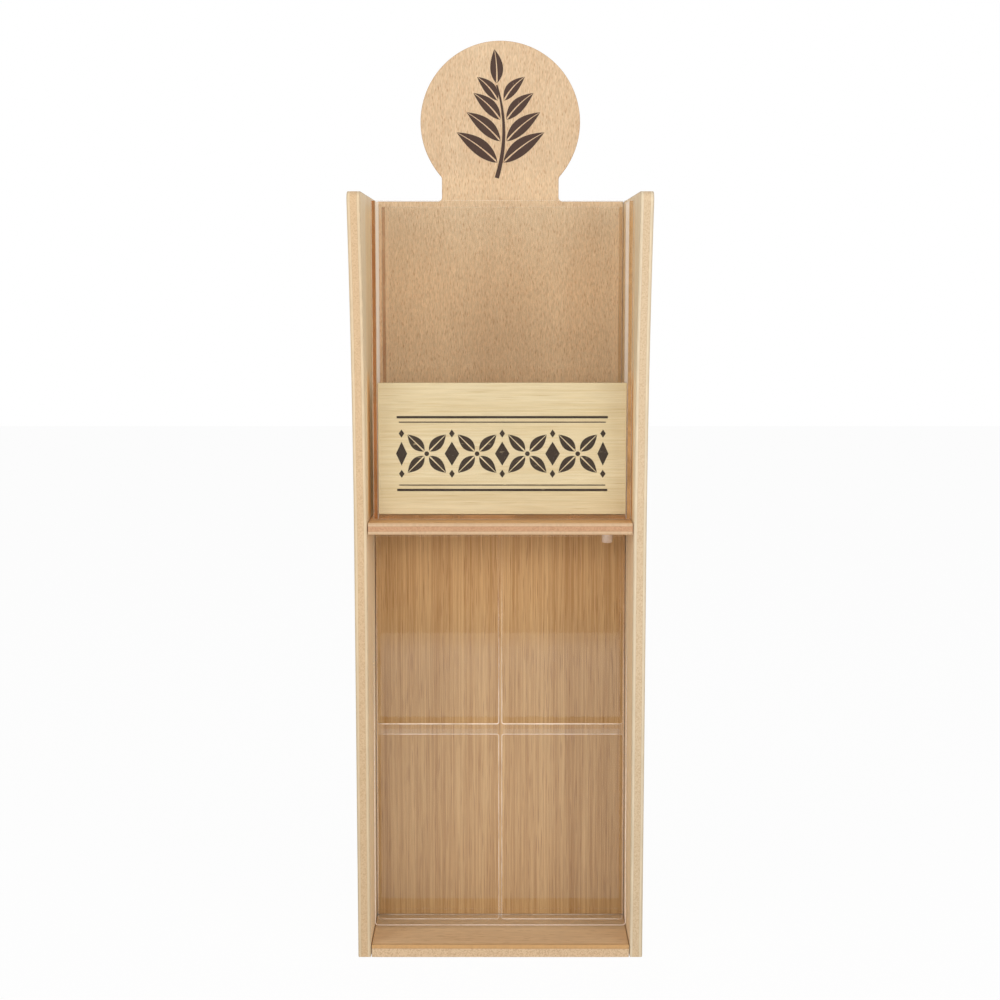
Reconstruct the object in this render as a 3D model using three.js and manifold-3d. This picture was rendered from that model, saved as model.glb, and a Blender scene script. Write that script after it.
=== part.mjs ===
// Counter display for cigarette packs: a narrow wooden stand with a round-headed
// back board. A loose clear bin stands in its upper bay, with a loose wooden
// board upright inside it, and a loose clear tray with four pack pockets leans
// in its lower bay. Millimetres, +Z up, the front faces -Y, and the origin is
// the middle of the space that the stand takes up on the counter.

import * as THREE from 'three';
import { mergeVertices } from 'three/addons/utils/BufferGeometryUtils.js';
import Module from 'manifold-3d';

const wasm = await Module();
wasm.setup();

// The wooden case
const outerWidth = 135;
const sideThickness = 6;
const footDepth = 90;
const sweepDrop = 8;         // the sides' front edge starts to curve forward this far below the shelf
const sweepReach = 22.6;     // how far that edge would come forward at a sharp top corner
const sideFrontRound = 4;
const sideRearRound = 3;
const boardGap = 0.3;        // joint line between two boards, or two sheets, that meet

const baseThickness = 6;
const backThickness = 6;
const shelfThickness = 5.5;
const shelfSetBack = 0.5;    // the shelf's edge stands this far behind the sides' front edge

// The back board's round head
const headRadius = 39.5;
const headRise = 38.6;       // from the case's top up to the head's centre
const neckWidth = 58;
const shoulderRound = 2;
const throatRound = 3;       // where the neck runs into the round head

// The leaning tray and the board behind it
const leanAngle = 3;         // degrees back from upright
const trayFootSetBack = 22.3;
const trayDepth = 17;
const traySheet = 2;         // the back of the pockets
const traySideLand = 2.1;
const trayCentreLand = 2;
const trayFootLand = 3.5;
const trayMiddleLand = 5.5;
const trayTopLand = 2;
const trayCornerRound = 1.5;
const pocketHeight = 90.8;
const pocketRound = 2;
const traySideGap = 0.3;
const trayHeadroom = 3.5;    // from the tray's highest edge up to the shelf
const leanBoardThickness = 6;

// The clear bin
const binSideGap = 1.5;      // to each side when it stands in the middle
const binHeight = 147;
const binTopDrop = 2.7;      // the case stands this far above the bin
const binSheet = 2;
const binSetBack = 9;
const binRearGap = 0.6;
const binShift = 0.9;        // the loose bin stands a little to the right in its bay
const restGap = 0.3;         // between a loose piece and what it stands on

// The loose board in the bin
const insertHeight = 61.4;
const insertThickness = 3;
const insertSideGap = 0.3;
const insertRound = 0.5;

// The stop peg under the shelf
const pegDiameter = 5.2;
const pegDrop = 7.8;
const pegShankDiameter = 3;
const pegShankLength = 4;
const pegSideSpacing = 10.5; // from the right side to the peg's axis
const pegTrayGap = 1.2;
const pegChamfer = 0.6;

// Brads through the sides into the boards between them
const bradDiameter = 1.4;
const bradLength = 20;
const bradSink = 0.2;
const bradClearance = 0.3;
const bradEndSpacing = 15;   // from a flat board's front and rear edges
const leanBradEndSpacing = 45;
const backBradEndSpacing = 35;
const backBradCount = 4;

// Facets
const arcSteps = 6;
const sweepSteps = 24;
const headSteps = 72;
const pinSides = 8;
const pegSides = 20;
const overrun = 1;           // a cutting shape passes the face it opens by this much
const weldDistance = 1e-4;

// Colours and surfaces
const beech = { color: 0xd9b48c, roughness: 0.6, metalness: 0 };
const paleVeneer = { color: 0xe6cfa4, roughness: 0.6, metalness: 0 };
const oak = { color: 0xc09a6c, roughness: 0.6, metalness: 0 };
const clear = { color: 0xeef2f4, roughness: 0.08, metalness: 0, transparent: true, opacity: 0.35 };
const steel = { color: 0x9a9a98, roughness: 0.4, metalness: 1 };

const lean = THREE.MathUtils.degToRad(leanAngle);

// Heights, from the counter up: the base, the leaning tray, the shelf, the bin
// and the case's top.
const trayFootHeight = baseThickness + restGap;
const trayHeight = trayFootLand + 2 * pocketHeight + trayMiddleLand + trayTopLand;
const trayTopHeight = trayFootHeight + trayDepth * Math.sin(lean) + trayHeight * Math.cos(lean);
const shelfUnderside = trayTopHeight + trayHeadroom;
const shelfTop = shelfUnderside + shelfThickness;
const binFoot = shelfTop + restGap;
const binTop = binFoot + binHeight;
const caseHeight = binTop + binTopDrop;

// The sides' front edge: upright, then an arc that leaves it without a kink,
// and a round corner that meets the arc and the top.
const sweepStart = shelfUnderside - sweepDrop;
const sweepHeight = caseHeight - sweepStart;
const sweepRadius = (sweepHeight ** 2 + sweepReach ** 2) / (2 * sweepReach);
const cornerCentreHeight = caseHeight - sideFrontRound;
const cornerRise = cornerCentreHeight - sweepStart;
const cornerCentreBack = Math.sqrt((sweepRadius + sideFrontRound) ** 2 - cornerRise ** 2) - sweepRadius;
const sweepAngle = Math.atan2(cornerRise, cornerCentreBack + sweepRadius);
const forwardReach = sideFrontRound - cornerCentreBack;

// Planes of the case
const totalDepth = footDepth + forwardReach;
const frontPlane = forwardReach - totalDepth / 2;
const rearPlane = totalDepth / 2;
const backFace = rearPlane - backThickness;
const innerHalf = outerWidth / 2 - sideThickness;
const boardHalf = innerHalf - boardGap;
const boardRear = backFace - boardGap;

// A closed three.js geometry as a manifold solid, and back again.
function toSolid(geometry) {
  const bare = geometry.clone();
  bare.deleteAttribute('normal');
  bare.deleteAttribute('uv');
  const merged = mergeVertices(bare, weldDistance);
  return new wasm.Manifold(new wasm.Mesh({
    numProp: 3,
    vertProperties: new Float32Array(merged.attributes.position.array),
    triVerts: new Uint32Array(merged.index.array),
  }));
}

function toGeometry(solid) {
  const { numProp, vertProperties, triVerts } = solid.getMesh();
  const positions = new Float32Array(triVerts.length * 3);
  triVerts.forEach((vertex, corner) => {
    for (let axis = 0; axis < 3; axis += 1) {
      positions[corner * 3 + axis] = vertProperties[vertex * numProp + axis];
    }
  });
  const geometry = new THREE.BufferGeometry();
  geometry.setAttribute('position', new THREE.BufferAttribute(positions, 3));
  geometry.computeVertexNormals();
  return geometry;
}

function cut(geometry, tools) {
  let solid = toSolid(geometry);
  for (const tool of tools) {
    solid = solid.subtract(toSolid(tool));
  }
  return toGeometry(solid);
}

function namedMesh(name, geometry, look) {
  const mesh = new THREE.Mesh(geometry, new THREE.MeshStandardMaterial(look));
  mesh.name = name;
  return mesh;
}

// A box between two corners.
function box(x0, x1, y0, y1, z0, z1) {
  const geometry = new THREE.BoxGeometry(x1 - x0, y1 - y0, z1 - z0);
  geometry.translate((x0 + x1) / 2, (y0 + y1) / 2, (z0 + z1) / 2);
  return geometry;
}

// An outline drawn in X and Z, made solid from y0 back to y1.
function frontOutline(shape, y0, y1, curveSegments) {
  const geometry = new THREE.ExtrudeGeometry(shape, { depth: y1 - y0, bevelEnabled: false, curveSegments });
  geometry.rotateX(Math.PI / 2);
  geometry.translate(0, y1, 0);
  return geometry;
}

// An outline drawn in Y and Z, made solid from x0 to x1.
function sideOutline(shape, x0, x1, curveSegments) {
  const geometry = new THREE.ExtrudeGeometry(shape, { depth: x1 - x0, bevelEnabled: false, curveSegments });
  const turn = new THREE.Matrix4().makeBasis(
    new THREE.Vector3(0, 1, 0),
    new THREE.Vector3(0, 0, 1),
    new THREE.Vector3(1, 0, 0),
  );
  geometry.applyMatrix4(turn);
  geometry.translate(x0, 0, 0);
  return geometry;
}

function roundedRectangle(x0, x1, z0, z1, round) {
  const shape = new THREE.Shape();
  shape.moveTo(x0 + round, z0);
  shape.absarc(x1 - round, z0 + round, round, -Math.PI / 2, 0, false);
  shape.absarc(x1 - round, z1 - round, round, 0, Math.PI / 2, false);
  shape.absarc(x0 + round, z1 - round, round, Math.PI / 2, Math.PI, false);
  shape.absarc(x0 + round, z0 + round, round, Math.PI, 1.5 * Math.PI, false);
  return shape;
}

// A pin that lies along X between two places.
function pinAlongX(radius, x0, x1, y, z) {
  const geometry = new THREE.CylinderGeometry(radius, radius, x1 - x0, pinSides);
  geometry.rotateZ(Math.PI / 2);
  geometry.translate((x0 + x1) / 2, y, z);
  return geometry;
}

// Where the brads stand, as depth and height, for each board between the sides.
const bradDepths = [frontPlane + shelfSetBack + bradEndSpacing, boardRear - bradEndSpacing];
const shelfBradPlaces = bradDepths.map((y) => [y, shelfUnderside + shelfThickness / 2]);
const baseBradPlaces = bradDepths.map((y) => [y, baseThickness / 2]);
const backBradPitch = (caseHeight - 2 * backBradEndSpacing) / (backBradCount - 1);
const backBradPlaces = Array.from({ length: backBradCount }, (unused, index) => (
  [backFace + backThickness / 2, backBradEndSpacing + index * backBradPitch]
));

// The leaning pieces share a frame whose origin is the tray's rear foot edge,
// with its own Y square to the tray's back and its own Z up along it.
const trayRearFoot = frontPlane + trayFootSetBack + trayDepth * Math.cos(lean);
const leanFaceY = boardGap;
const leanRearY = leanFaceY + leanBoardThickness;
const leanMiddleY = (leanFaceY + leanRearY) / 2;
const leanBottom = (leanRearY * Math.sin(lean) + baseThickness + boardGap - trayFootHeight) / Math.cos(lean);
const leanTop = (shelfUnderside - boardGap - trayFootHeight + leanFaceY * Math.sin(lean)) / Math.cos(lean);

function leanToCase(y, z) {
  return [
    trayRearFoot + y * Math.cos(lean) + z * Math.sin(lean),
    trayFootHeight - y * Math.sin(lean) + z * Math.cos(lean),
  ];
}

const leanBradLocal = [leanBottom + leanBradEndSpacing, leanTop - leanBradEndSpacing].map((z) => [leanMiddleY, z]);
const leanBradPlaces = leanBradLocal.map(([y, z]) => leanToCase(y, z));
const allBradPlaces = [...shelfBradPlaces, ...baseBradPlaces, ...backBradPlaces, ...leanBradPlaces];

// A brad runs in from just under a side's outer face, and its hole is a little
// wider and a little deeper.
const bradOuterEnd = outerWidth / 2 - bradSink;
const bradInnerEnd = bradOuterEnd - bradLength;
const bradHoleRadius = bradDiameter / 2 + bradClearance;

function bradHoles(places) {
  const outer = outerWidth / 2 + overrun;
  const inner = bradInnerEnd - bradClearance;
  return places.flatMap(([y, z]) => [
    pinAlongX(bradHoleRadius, inner, outer, y, z),
    pinAlongX(bradHoleRadius, -outer, -inner, y, z),
  ]);
}

// The brads of one board, numbered from its first place on each side.
function brads(name, places) {
  return places.flatMap(([y, z], index) => {
    const left = pinAlongX(bradDiameter / 2, -bradOuterEnd, -bradInnerEnd, y, z);
    const right = pinAlongX(bradDiameter / 2, bradInnerEnd, bradOuterEnd, y, z);
    return [
      namedMesh(`${name}_left_${index + 1}`, left, steel),
      namedMesh(`${name}_right_${index + 1}`, right, steel),
    ];
  });
}

// One side, drawn from the front.
function sidePanel(name, x0) {
  const shape = new THREE.Shape();
  shape.moveTo(frontPlane, 0);
  shape.lineTo(rearPlane, 0);
  shape.lineTo(rearPlane, caseHeight - sideRearRound);
  shape.absarc(rearPlane - sideRearRound, caseHeight - sideRearRound, sideRearRound, 0, Math.PI / 2, false);
  const cornerCentre = frontPlane + cornerCentreBack;
  shape.absarc(cornerCentre, cornerCentreHeight, sideFrontRound, Math.PI / 2, Math.PI + sweepAngle, false);
  shape.absarc(frontPlane - sweepRadius, sweepStart, sweepRadius, sweepAngle, 0, true);
  const panel = sideOutline(shape, x0, x0 + sideThickness, sweepSteps / 2);
  return namedMesh(name, cut(panel, bradHoles(allBradPlaces)), paleVeneer);
}

// The back board with its shoulders, neck and round head.
function backBoard() {
  const neckHalf = neckWidth / 2;
  const headCentreHeight = caseHeight + headRise;
  const throatX = neckHalf + throatRound;
  const throatDrop = Math.sqrt((headRadius + throatRound) ** 2 - throatX ** 2);
  const throatZ = headCentreHeight - throatDrop;
  const throatAngle = Math.atan2(throatDrop, throatX);
  const shoulderX = neckHalf + shoulderRound;
  const shoulderZ = caseHeight + shoulderRound;
  const shape = new THREE.Shape();
  shape.moveTo(-boardHalf, 0);
  shape.lineTo(boardHalf, 0);
  shape.lineTo(boardHalf, caseHeight);
  shape.absarc(shoulderX, shoulderZ, shoulderRound, 1.5 * Math.PI, Math.PI, true);
  shape.absarc(throatX, throatZ, throatRound, Math.PI, Math.PI - throatAngle, true);
  shape.absarc(0, headCentreHeight, headRadius, -throatAngle, Math.PI + throatAngle, false);
  shape.absarc(-throatX, throatZ, throatRound, throatAngle, 0, true);
  shape.absarc(-shoulderX, shoulderZ, shoulderRound, 0, -Math.PI / 2, true);
  shape.lineTo(-boardHalf, caseHeight);
  const board = frontOutline(shape, backFace, rearPlane, headSteps / 2);
  return namedMesh('back_board', cut(board, bradHoles(backBradPlaces)), beech);
}

function baseBoard() {
  const board = box(-boardHalf, boardHalf, frontPlane, boardRear, 0, baseThickness);
  return namedMesh('base_board', cut(board, bradHoles(baseBradPlaces)), beech);
}

// The stop peg stands just ahead of the tray's front face at the peg's foot.
const pegFootAlongTray = (shelfUnderside - pegDrop - trayFootHeight) / Math.cos(lean);
const pegX = innerHalf - pegSideSpacing;
const pegY = leanToCase(-trayDepth, pegFootAlongTray)[0] - pegTrayGap - pegDiameter / 2;

// The shelf, with a blind hole from below for the stop peg's shank.
function midShelf() {
  const board = box(-boardHalf, boardHalf, frontPlane + shelfSetBack, boardRear, shelfUnderside, shelfTop);
  const holeTop = shelfUnderside + pegShankLength + restGap;
  const holeBottom = shelfUnderside - overrun;
  const radius = pegShankDiameter / 2 + restGap;
  const hole = new THREE.CylinderGeometry(radius, radius, holeTop - holeBottom, pegSides);
  hole.rotateX(Math.PI / 2);
  hole.translate(pegX, pegY, (holeTop + holeBottom) / 2);
  return namedMesh('mid_shelf', cut(board, [...bradHoles(shelfBradPlaces), hole]), beech);
}

// The clear peg: a shank in the shelf and a wider body that hangs in front of
// the tray's top, turned about its upright axis.
function stopPeg() {
  const bodyRadius = pegDiameter / 2;
  const shankRadius = pegShankDiameter / 2;
  const bodyTop = -boardGap;
  const profile = [
    new THREE.Vector2(0, -pegDrop),
    new THREE.Vector2(bodyRadius - pegChamfer, -pegDrop),
    new THREE.Vector2(bodyRadius, pegChamfer - pegDrop),
    new THREE.Vector2(bodyRadius, bodyTop),
    new THREE.Vector2(shankRadius, bodyTop),
    new THREE.Vector2(shankRadius, pegShankLength),
    new THREE.Vector2(0, pegShankLength),
  ];
  const geometry = new THREE.LatheGeometry(profile, pegSides);
  geometry.rotateX(Math.PI / 2);
  const mesh = namedMesh('stop_peg', geometry, clear);
  mesh.position.set(pegX, pegY, shelfUnderside);
  return mesh;
}

// The board that leans behind the tray, in the leaning frame.
function leaningBoard() {
  const board = box(-boardHalf, boardHalf, leanFaceY, leanRearY, leanBottom, leanTop);
  return namedMesh('lower_back_board', cut(board, bradHoles(leanBradLocal)), oak);
}

// The clear tray in the leaning frame: one moulded block with four pockets
// that are open to the front.
function packTray() {
  const half = innerHalf - traySideGap;
  const lowerFloor = trayFootLand;
  const upperFloor = lowerFloor + pocketHeight + trayMiddleLand;
  const outline = roundedRectangle(-half, half, 0, trayHeight, trayCornerRound);
  const block = frontOutline(outline, -trayDepth, 0, arcSteps / 2);
  const pocketInner = trayCentreLand / 2;
  const pocketOuter = half - traySideLand;
  const pockets = [];
  for (const floor of [lowerFloor, upperFloor]) {
    for (const [x0, x1] of [[-pocketOuter, -pocketInner], [pocketInner, pocketOuter]]) {
      const pocket = roundedRectangle(x0, x1, floor, floor + pocketHeight, pocketRound);
      pockets.push(frontOutline(pocket, -trayDepth - overrun, -traySheet, arcSteps / 2));
    }
  }
  return namedMesh('pack_tray', cut(block, pockets), clear);
}

// The clear bin: five sheets, the front and back ones full size, the sides and
// the bottom between them.
const binFront = frontPlane + binSetBack;
const binRear = backFace - binRearGap;
const binHalf = innerHalf - binSideGap;

function binSheets() {
  const half = binHalf;
  const sideInner = half - binSheet;
  const sideFront = binFront + binSheet + boardGap;
  const sideRear = binRear - binSheet - boardGap;
  const floorHalf = sideInner - boardGap;
  return [
    namedMesh('bin_front_sheet', box(-half, half, binFront, binFront + binSheet, binFoot, binTop), clear),
    namedMesh('bin_back_sheet', box(-half, half, binRear - binSheet, binRear, binFoot, binTop), clear),
    namedMesh('bin_left_sheet', box(-half, -sideInner, sideFront, sideRear, binFoot, binTop), clear),
    namedMesh('bin_right_sheet', box(sideInner, half, sideFront, sideRear, binFoot, binTop), clear),
    namedMesh('bin_floor_sheet', box(-floorHalf, floorHalf, sideFront, sideRear, binFoot, binFoot + binSheet), clear),
  ];
}

// The loose board stands on the bin's floor against its front sheet.
function insertBoard() {
  const half = binHalf - binSheet - insertSideGap;
  const front = binFront + binSheet + boardGap;
  const foot = binFoot + binSheet + restGap;
  const outline = roundedRectangle(-half, half, foot, foot + insertHeight, insertRound);
  return namedMesh('insert_board', frontOutline(outline, front, front + insertThickness, arcSteps / 2), paleVeneer);
}

const display = new THREE.Group();
display.name = 'counter_display';

display.add(
  sidePanel('side_panel_left', -outerWidth / 2),
  sidePanel('side_panel_right', innerHalf),
  backBoard(),
  baseBoard(),
  midShelf(),
  stopPeg(),
  ...brads('shelf_brad', shelfBradPlaces),
  ...brads('base_brad', baseBradPlaces),
  ...brads('back_board_brad', backBradPlaces),
  ...brads('lower_back_brad', leanBradPlaces),
);

const leaning = new THREE.Group();
leaning.position.set(0, trayRearFoot, trayFootHeight);
leaning.rotation.x = -lean;
leaning.add(leaningBoard(), packTray());
display.add(leaning);

const bin = new THREE.Group();
bin.position.x = binShift;
bin.add(...binSheets(), insertBoard());
display.add(bin);

export default display;
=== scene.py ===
import math

import bmesh
import bpy
import numpy as np
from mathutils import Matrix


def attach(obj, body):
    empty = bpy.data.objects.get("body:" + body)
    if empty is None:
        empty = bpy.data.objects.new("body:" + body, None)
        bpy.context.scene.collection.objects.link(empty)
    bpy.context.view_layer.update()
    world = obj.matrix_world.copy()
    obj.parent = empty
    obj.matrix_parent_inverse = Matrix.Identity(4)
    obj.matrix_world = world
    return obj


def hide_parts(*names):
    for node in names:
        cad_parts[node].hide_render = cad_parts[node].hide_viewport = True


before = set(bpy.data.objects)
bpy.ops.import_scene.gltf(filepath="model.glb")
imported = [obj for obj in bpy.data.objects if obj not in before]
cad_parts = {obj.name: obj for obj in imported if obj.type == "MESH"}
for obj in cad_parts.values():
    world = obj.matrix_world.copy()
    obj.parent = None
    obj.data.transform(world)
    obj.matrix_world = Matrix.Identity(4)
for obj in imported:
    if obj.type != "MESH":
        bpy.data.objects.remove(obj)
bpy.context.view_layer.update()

scene = bpy.context.scene


# The camera stands 0.83 m ahead of the display, at three quarters of its height, and
# looks 7 degrees down through a lens of 63 mm.
CAMERA_PLACE = (-0.00014, -0.83133, 0.320)
CAMERA_TILT = 82.8
LENS = 62.856
lens = bpy.data.cameras.new("camera")
lens.lens = LENS
lens.sensor_width = 36.0
lens.clip_start = 0.01
camera = bpy.data.objects.new("camera", lens)
camera.location = CAMERA_PLACE
camera.rotation_euler = (math.radians(CAMERA_TILT), 0.0, 0.0)
scene.collection.objects.link(camera)
scene.camera = camera
scene.view_settings.view_transform = "Standard"


# The table is a sheet of plain white card, which ends well behind the camera, and the
# room's white goes on past its far side. Only their own light makes them white. The
# card's mirror image in the clear plastic is painted darker far ahead of the display
# and near it: painted shade, which near the display stands for the display's shadow
# on the card.
CARD_WHITE = 0.93
SHOWN_WHITE = 0.96
TABLE_FRONT = -1.511
TABLE_REACH = 3.0
FAR_FADE_END = -0.6
FAR_LOSS = 0.88
NEAR_FADE_START = -0.35
NEAR_FADE_END = -0.035
NEAR_LOSS = 0.55
ROOM_LIGHT = 0.32


def put(tree, kind, inputs=(), **settings):
    """Adds one node to a tree.

    Each input is a number, a colour or another node's socket, given by its place or by its name."""
    made = tree.nodes.new("ShaderNode" + kind)
    for name, value in settings.items():
        setattr(made, name, value)
    pairs = inputs.items() if isinstance(inputs, dict) else enumerate(inputs)
    for place, value in pairs:
        if isinstance(value, bpy.types.NodeSocket):
            tree.links.new(value, made.inputs[place])
        else:
            made.inputs[place].default_value = value
    return made


def maths(tree, operation, *values, clamp=False):
    """One Math node's result, such as the sum or the product of two values."""
    return put(tree, "Math", values, operation=operation, use_clamp=clamp).outputs[0]


def times(tree, *values):
    """The product of two or more values."""
    product = values[0]
    for value in values[1:]:
        product = maths(tree, "MULTIPLY", product, value)
    return product


def part_of(tree, vector, index):
    """One part of a vector: 0 is across, 1 is back and 2 is up."""
    return put(tree, "SeparateXYZ", [vector]).outputs[index]


def new_look(name):
    """A material with an empty node tree, and that tree."""
    made = bpy.data.materials.new(name)
    made.use_nodes = True
    made.node_tree.nodes.clear()
    return made, made.node_tree


def seen_directly(tree):
    """1 for a ray that shows the background itself: from the camera, off a gloss or through glass."""
    path = put(tree, "LightPath")
    seen = maths(tree, "MAXIMUM", path.outputs["Is Camera Ray"], path.outputs["Is Glossy Ray"])
    return maths(tree, "MAXIMUM", seen, path.outputs["Is Transmission Ray"])


def studio_sheet(name, first, second, look):
    """A flat sheet between two level edges, each as (back, up) in metres. It is no part of the display."""
    corners = [(-TABLE_REACH, *first), (TABLE_REACH, *first), (TABLE_REACH, *second), (-TABLE_REACH, *second)]
    mesh = bpy.data.meshes.new(name)
    mesh.from_pydata(corners, [], [(0, 1, 2, 3)])
    mesh.materials.append(look)
    made = bpy.data.objects.new(name, mesh)
    scene.collection.objects.link(made)
    return made


card, tree = new_look("white_card")
matt = put(tree, "BsdfDiffuse", {"Color": (CARD_WHITE, CARD_WHITE, CARD_WHITE, 1.0)})
lit = put(tree, "Emission", {"Color": (1.0, 1.0, 1.0, 1.0), "Strength": 1.0})
ahead = part_of(tree, put(tree, "TexCoord").outputs["Object"], 1)
# Painted shade, in the card's mirror image only: darker towards the table's front edge and near the display.
far = put(tree, "MapRange", [ahead, TABLE_FRONT, FAR_FADE_END, FAR_LOSS, 0.0]).outputs[0]
near = put(tree, "MapRange", [ahead, NEAR_FADE_START, NEAR_FADE_END, 0.0, NEAR_LOSS]).outputs[0]
mirrored = put(tree, "LightPath").outputs["Is Reflection Ray"]
loss = times(tree, mirrored, maths(tree, "ADD", far, near))
shown = maths(tree, "MULTIPLY_ADD", loss, -SHOWN_WHITE, SHOWN_WHITE)
mixed = put(tree, "MixShader", [times(tree, seen_directly(tree), shown), matt.outputs[0], lit.outputs[0]])
put(tree, "OutputMaterial", [mixed.outputs[0]])
card.cycles.emission_sampling = "NONE"
studio_sheet("table", (TABLE_FRONT, 0.0), (TABLE_REACH, 0.0), card)

room = bpy.data.worlds.new("white_room")
room.use_nodes = True
tree = room.node_tree
tree.nodes.clear()
strength = maths(tree, "MULTIPLY_ADD", seen_directly(tree), 1.0 - ROOM_LIGHT, ROOM_LIGHT)
white = put(tree, "Background", {"Color": (1.0, 1.0, 1.0, 1.0), "Strength": strength})
put(tree, "OutputWorld", [white.outputs[0]])
scene.world = room


# Past the table's front edge the room is dark. A grey screen stands there for what the
# clear plastic mirrors, and is seen in no other way.
SCREEN_GREY = 0.03
SCREEN_FOOT = -0.2
SCREEN_TOP = 1.3
screen_look, tree = new_look("grey_screen")
dim = put(tree, "Emission", {"Color": (SCREEN_GREY, SCREEN_GREY, SCREEN_GREY, 1.0), "Strength": 1.0})
put(tree, "OutputMaterial", [dim.outputs[0]])
screen_look.cycles.emission_sampling = "NONE"
screen = studio_sheet("screen", (TABLE_FRONT, SCREEN_FOOT), (TABLE_FRONT, SCREEN_TOP), screen_look)
screen.visible_camera = False
screen.visible_diffuse = False
screen.visible_shadow = False
screen.visible_transmission = False


# One broad softbox stands behind the camera and lights the bays to their backs. One
# hangs overhead, and two stand in front to the left and the right, for the bays' sides.
def softbox(name, place, aim, width, height, power):
    """A flat lamp of that width and height, square to the line from its place to its aim."""
    lamp = bpy.data.lights.new(name, "AREA")
    lamp.shape = "RECTANGLE"
    lamp.size = width
    lamp.size_y = height
    lamp.energy = power
    made = bpy.data.objects.new(name, lamp)
    made.location = place
    direction = np.array(aim) - np.array(place)
    flat = math.hypot(direction[0], direction[1])
    made.rotation_euler = (math.atan2(flat, -direction[2]), 0.0, math.atan2(-direction[0], direction[1]))
    made.visible_camera = False
    made.visible_glossy = False
    made.visible_transmission = False
    scene.collection.objects.link(made)


softbox("light_front", (0.0, -1.35, 0.48), (0.0, 0.0, 0.24), 0.9, 0.6, 4.8)
softbox("light_overhead", (0.0, -0.45, 1.65), (0.0, 0.0, 0.22), 1.3, 0.9, 4.2)
softbox("light_left", (-1.0, -1.05, 0.62), (0.0, 0.0, 0.24), 0.7, 0.9, 5.7)
softbox("light_right", (1.0, -1.05, 0.62), (0.0, 0.0, 0.24), 0.7, 0.9, 5.9)


# The two sides are 6 mm plywood with a pale veneer on both faces, sawn to one outline:
# upright in front up to the shelf, then curved forward to a round top corner. The sawn
# edge shows the plies and is only sanded. All lengths from here on are in millimetres.
MM = 0.001
QUARTER = math.pi / 2
OUTER_HALF = 67.5
SIDE_THICKNESS = 6.0
FRONT_Y = -34.33
REAR_Y = 55.67
CASE_TOP = 358.526
SWEEP_START = 195.026
SWEEP_REACH = 22.6
FRONT_CORNER = 4.0
REAR_CORNER = 3.0
FOOT_CORNER = 0.4
SIDE_ARRIS = 0.45
ARC_STEPS = 10
SWEEP_STEPS = 40
ARRIS_STEPS = 3
BOARD_SHARP = 50.0


def arc(across, up, radius, start, end, steps):
    """Points on a circle about (across, up), from the start angle to the end angle in even steps."""
    angles = np.linspace(start, end, steps + 1)
    return np.stack([across + radius * np.cos(angles), up + radius * np.sin(angles)], 1)


def side_outline():
    """The side seen from its outer face, as (back, up): foot, rear edge, round top corners and swept front.

    The sweep is an arc that starts upright and reaches SWEEP_REACH forward at the top. The front corner's
    circle touches both it and the top."""
    rise = CASE_TOP - SWEEP_START
    sweep = (rise ** 2 + SWEEP_REACH ** 2) / (2.0 * SWEEP_REACH)
    corner_up = CASE_TOP - FRONT_CORNER
    corner_rise = corner_up - SWEEP_START
    corner_back = math.sqrt((sweep + FRONT_CORNER) ** 2 - corner_rise ** 2) - sweep
    turn = math.atan2(corner_rise, corner_back + sweep)
    return np.concatenate([
        arc(FRONT_Y + FOOT_CORNER, FOOT_CORNER, FOOT_CORNER, -math.pi, -QUARTER, 3),
        arc(REAR_Y - FOOT_CORNER, FOOT_CORNER, FOOT_CORNER, -QUARTER, 0.0, 3),
        arc(REAR_Y - REAR_CORNER, CASE_TOP - REAR_CORNER, REAR_CORNER, 0.0, QUARTER, ARC_STEPS),
        arc(FRONT_Y + corner_back, corner_up, FRONT_CORNER, QUARTER, math.pi + turn, ARC_STEPS),
        arc(FRONT_Y - sweep, SWEEP_START, sweep, turn, 0.0, SWEEP_STEPS),
    ])


def without_doubles(outline):
    """The outline less each point that lies on the one before it."""
    ahead = np.roll(outline, -1, 0)
    return outline[np.linalg.norm(ahead - outline, axis=1) > 1e-6]


def mitres(outline):
    """For each point of an anticlockwise outline, the move that brings both its edges out by one."""
    run = np.roll(outline, -1, 0) - outline
    run /= np.linalg.norm(run, axis=1)[:, None]
    out = np.stack([run[:, 1], -run[:, 0]], 1)
    before = np.roll(out, 1, 0)
    return (out + before) / (1.0 + (out * before).sum(1))[:, None]


def arris_profile(thickness, arris):
    """How far a board's section lies inside its outline, and how deep, from one face round to the other.

    A quarter circle turns from the face into the edge, and its mirror image turns out of it again."""
    turn = np.linspace(0.0, QUARTER, ARRIS_STEPS + 1)
    inside = arris * (1.0 - np.sin(turn))
    depth = arris * (1.0 - np.cos(turn))
    return np.concatenate([inside, inside[::-1]]), np.concatenate([depth, thickness - depth[::-1]])


def lofted(rings, count):
    """Faces between rings of count points each, then one over the first ring and one over the last."""
    ring, step = np.meshgrid(np.arange(rings - 1), np.arange(count), indexing="ij")
    ahead = (step + 1) % count
    faces = np.stack([ring * count + step, (ring + 1) * count + step,
                      (ring + 1) * count + ahead, ring * count + ahead], 2).reshape(-1, 4).tolist()
    faces.append(list(range(count)))
    faces.append(list(range(rings * count - 1, (rings - 1) * count - 1, -1)))
    return faces


def new_mesh(name, points, faces, looks, slots=None):
    """A mesh of points in millimetres. slots gives each face its place among the looks."""
    mesh = bpy.data.meshes.new(name)
    mesh.from_pydata((points * MM).tolist(), [], faces)
    for look in looks:
        mesh.materials.append(look)
    if slots is not None:
        mesh.polygons.foreach_set("material_index", np.array(slots, np.int32))
    return mesh


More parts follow.
